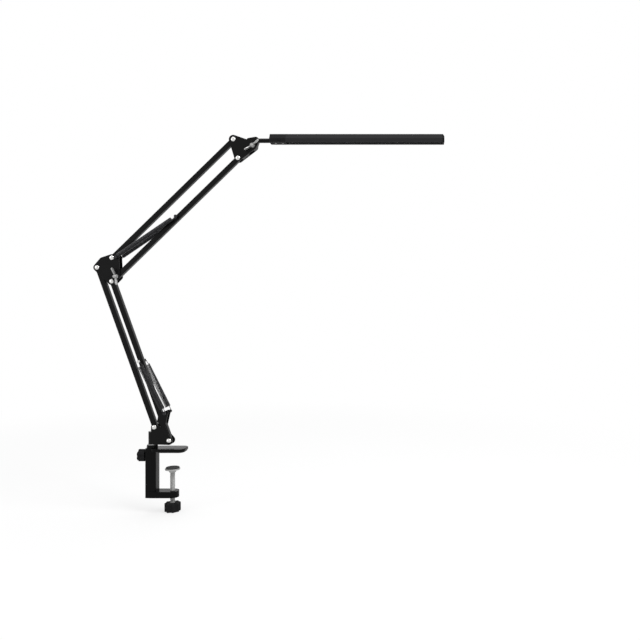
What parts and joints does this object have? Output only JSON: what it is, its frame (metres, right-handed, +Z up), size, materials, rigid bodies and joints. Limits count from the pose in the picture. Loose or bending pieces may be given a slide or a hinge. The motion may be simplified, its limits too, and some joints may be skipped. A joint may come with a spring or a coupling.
{
  "type": "desk lamp",
  "caption": "Black spring-balanced swing-arm desk lamp with a desk-edge clamp, two parallelogram arms, tilting neck and a long LED light bar.",
  "frame": {"origin": "middle of the underside of the upper jaw's rubber pad, on the desk top", "axes": "+Z up, +X from the clamp along the desk towards the light bar, +Y across the lamp, away from the wing nuts"},
  "size_m": [0.7238, 0.0446, 0.78],
  "materials": {
    "black_paint": "semi-gloss powder coat",
    "cast_black": "satin powder coat on a casting",
    "nickel": "bright nickel plate",
    "zinc": "bright zinc plate",
    "black_steel": "black oxide on steel",
    "spring_steel": "dark oiled spring wire",
    "rubber": "matt",
    "nylon": "matt",
    "brass": "turned",
    "black_plastic": "fine texture",
    "black_anodised": "black anodised",
    "opal": "opal",
    "board_white": "white solder mask",
    "phosphor": "satin",
    "board_green": "green solder mask"
  },
  "bodies": {
    "clamp": {"clamp_frame": "cast_black", "jaw_pad": "rubber", "socket_bush": "nylon"},
    "clamp_foot": {"pressure_foot": "zinc", "pressure_pad": "rubber"},
    "clamp_screw": {"clamp_screw": "zinc", "clamp_knob": "black_plastic"},
    "lock_shoe": {"lock_shoe": "brass"},
    "lock_screw": {"lock_stud": "zinc", "lock_knob": "black_plastic"},
    "base": {"base_bracket": "black_paint", "spindle": "zinc", "base_rivet": "nickel", "base_screw": "nickel", "base_washers": "nylon", "base_spring_studs": "black_steel", "lower_spring_front": "spring_steel", "lower_spring_rear": "spring_steel"},
    "lower_left": {"lower_left_tube": "black_paint", "lower_left_plugs": "nylon"},
    "lower_right": {"lower_right_tube": "black_paint", "lower_right_plugs": "nylon", "lower_spring_pin": "nickel"},
    "elbow": {"elbow_bracket": "black_paint", "elbow_rivets": "nickel", "elbow_washers": "nylon", "elbow_bolt": "zinc", "elbow_spring_studs": "black_steel", "upper_spring_front": "spring_steel", "upper_spring_rear": "spring_steel"},
    "elbow_washer": {"elbow_clamp_washer": "black_steel"},
    "elbow_nut": {"elbow_wing_nut": "zinc"},
    "upper_top": {"upper_top_tube": "black_paint", "upper_top_plugs": "nylon"},
    "upper_bottom": {"upper_bottom_tube": "black_paint", "upper_bottom_plugs": "nylon", "upper_spring_pin": "black_steel"},
    "head": {"head_bracket": "black_paint", "head_rivets": "nickel", "head_washers": "nylon", "tilt_bolt": "zinc"},
    "tilt_washer": {"tilt_clamp_washer": "black_steel"},
    "tilt_nut": {"tilt_wing_nut": "zinc"},
    "neck": {"neck": "black_paint", "neck_retainer": "zinc"},
    "light_bar": {"control_housing": "black_plastic", "control_cover": "black_plastic", "cover_screws": "zinc", "bar_body": "black_anodised", "diffuser": "opal", "led_board": "board_white", "led_chips": "phosphor", "end_cap": "black_plastic", "end_cap_screws": "zinc", "housing_screws": "zinc", "driver_board": "board_green", "power_inlet": "black_plastic"},
    "button": {"power_button": "black_plastic"}
  },
  "joints": [
    {"name": "foot_travel", "type": "slide", "parent": "clamp", "child": "clamp_foot", "axis": [0, 0, 1], "range_m": [-0.03, 0.0115]},
    {"name": "clamp_screw_turn", "type": "hinge", "parent": "clamp_foot", "child": "clamp_screw", "pos_m": [0, 0, -0.06], "axis": [0, 0, 1], "range_deg": [-7215, 2775]},
    {"name": "lock_travel", "type": "slide", "parent": "clamp", "child": "lock_shoe", "axis": [-1, 0, 0], "range_m": [0, 0.00305]},
    {"name": "lock_screw_turn", "type": "hinge", "parent": "lock_shoe", "child": "lock_screw", "pos_m": [-0.055, 0, -0.0082], "axis": [-1, 0, 0], "range_deg": [0, 1080]},
    {"name": "swivel", "type": "hinge", "parent": "clamp", "child": "base", "pos_m": [-0.042, 0, 0.02], "axis": [0, 0, 1], "continuous": true},
    {"name": "lower_arm_swing", "type": "hinge", "parent": "base", "child": "lower_left", "pos_m": [-0.0354, 0, 0.0509], "axis": [0, 1, 0], "range_deg": [-9, 50]},
    {"name": "lower_right_swing", "type": "hinge", "parent": "base", "child": "lower_right", "pos_m": [-0.00542, 0, 0.02235], "axis": [0, 1, 0], "range_deg": [-9.05, 50.05], "deforming": ["lower_spring_front", "lower_spring_rear"]},
    {"name": "elbow_hold", "type": "hinge", "parent": "lower_left", "child": "elbow", "pos_m": [-0.15338, 0, 0.38041], "axis": [0, 1, 0], "range_deg": [-50.05, 9.05]},
    {"name": "upper_arm_swing", "type": "hinge", "parent": "elbow", "child": "upper_top", "pos_m": [-0.12308, 0, 0.4004], "axis": [0, 1, 0], "range_deg": [-32, 45]},
    {"name": "upper_bottom_swing", "type": "hinge", "parent": "elbow", "child": "upper_bottom", "pos_m": [-0.11354, 0, 0.36186], "axis": [0, 1, 0], "range_deg": [-32.05, 45.05], "deforming": ["upper_spring_front", "upper_spring_rear"]},
    {"name": "head_hold", "type": "hinge", "parent": "upper_top", "child": "head", "pos_m": [0.12741, 0, 0.64484], "axis": [0, 1, 0], "range_deg": [-45.05, 32.05]},
    {"name": "elbow_washer_travel", "type": "slide", "parent": "elbow", "child": "elbow_washer", "axis": [0, -1, 0], "range_m": [0, 0.00205]},
    {"name": "elbow_nut_turn", "type": "hinge", "parent": "elbow_washer", "child": "elbow_nut", "pos_m": [-0.11354, -0.012, 0.36186], "axis": [0, -1, 0], "range_deg": [0, 720]},
    {"name": "tilt_washer_travel", "type": "slide", "parent": "head", "child": "tilt_washer", "axis": [0, -1, 0], "range_m": [0, 0.00205]},
    {"name": "tilt_nut_turn", "type": "hinge", "parent": "tilt_washer", "child": "tilt_nut", "pos_m": [0.16746, -0.012, 0.63152], "axis": [0, -1, 0], "range_deg": [0, 720]},
    {"name": "head_tilt", "type": "hinge", "parent": "head", "child": "neck", "pos_m": [0.16746, 0, 0.63152], "axis": [0, 1, 0], "range_deg": [-45, 60]},
    {"name": "head_roll", "type": "hinge", "parent": "neck", "child": "light_bar", "pos_m": [0.20246, 0, 0.64352], "axis": [1, 0, 0], "range_deg": [-90, 90]},
    {"name": "power_press", "type": "slide", "parent": "light_bar", "child": "button", "axis": [0, 1, 0], "range_m": [0, 0.0008], "stiffness_N_per_m": 500}
  ],
  "couplings": [
    {"joint": "clamp_screw_turn", "follows": "foot_travel", "rad_per_m": 4188.8},
    {"joint": "lock_travel", "follows": "lock_screw_turn", "m_per_rad": 0.00015915},
    {"joint": "lower_right_swing", "follows": "lower_arm_swing", "ratio": 1},
    {"joint": "elbow_hold", "follows": "lower_arm_swing", "ratio": -1},
    {"joint": "upper_bottom_swing", "follows": "upper_arm_swing", "ratio": 1},
    {"joint": "head_hold", "follows": "upper_arm_swing", "ratio": -1},
    {"joint": "elbow_washer_travel", "follows": "elbow_nut_turn", "m_per_rad": 0.00015915},
    {"joint": "tilt_washer_travel", "follows": "tilt_nut_turn", "m_per_rad": 0.00015915}
  ]
}
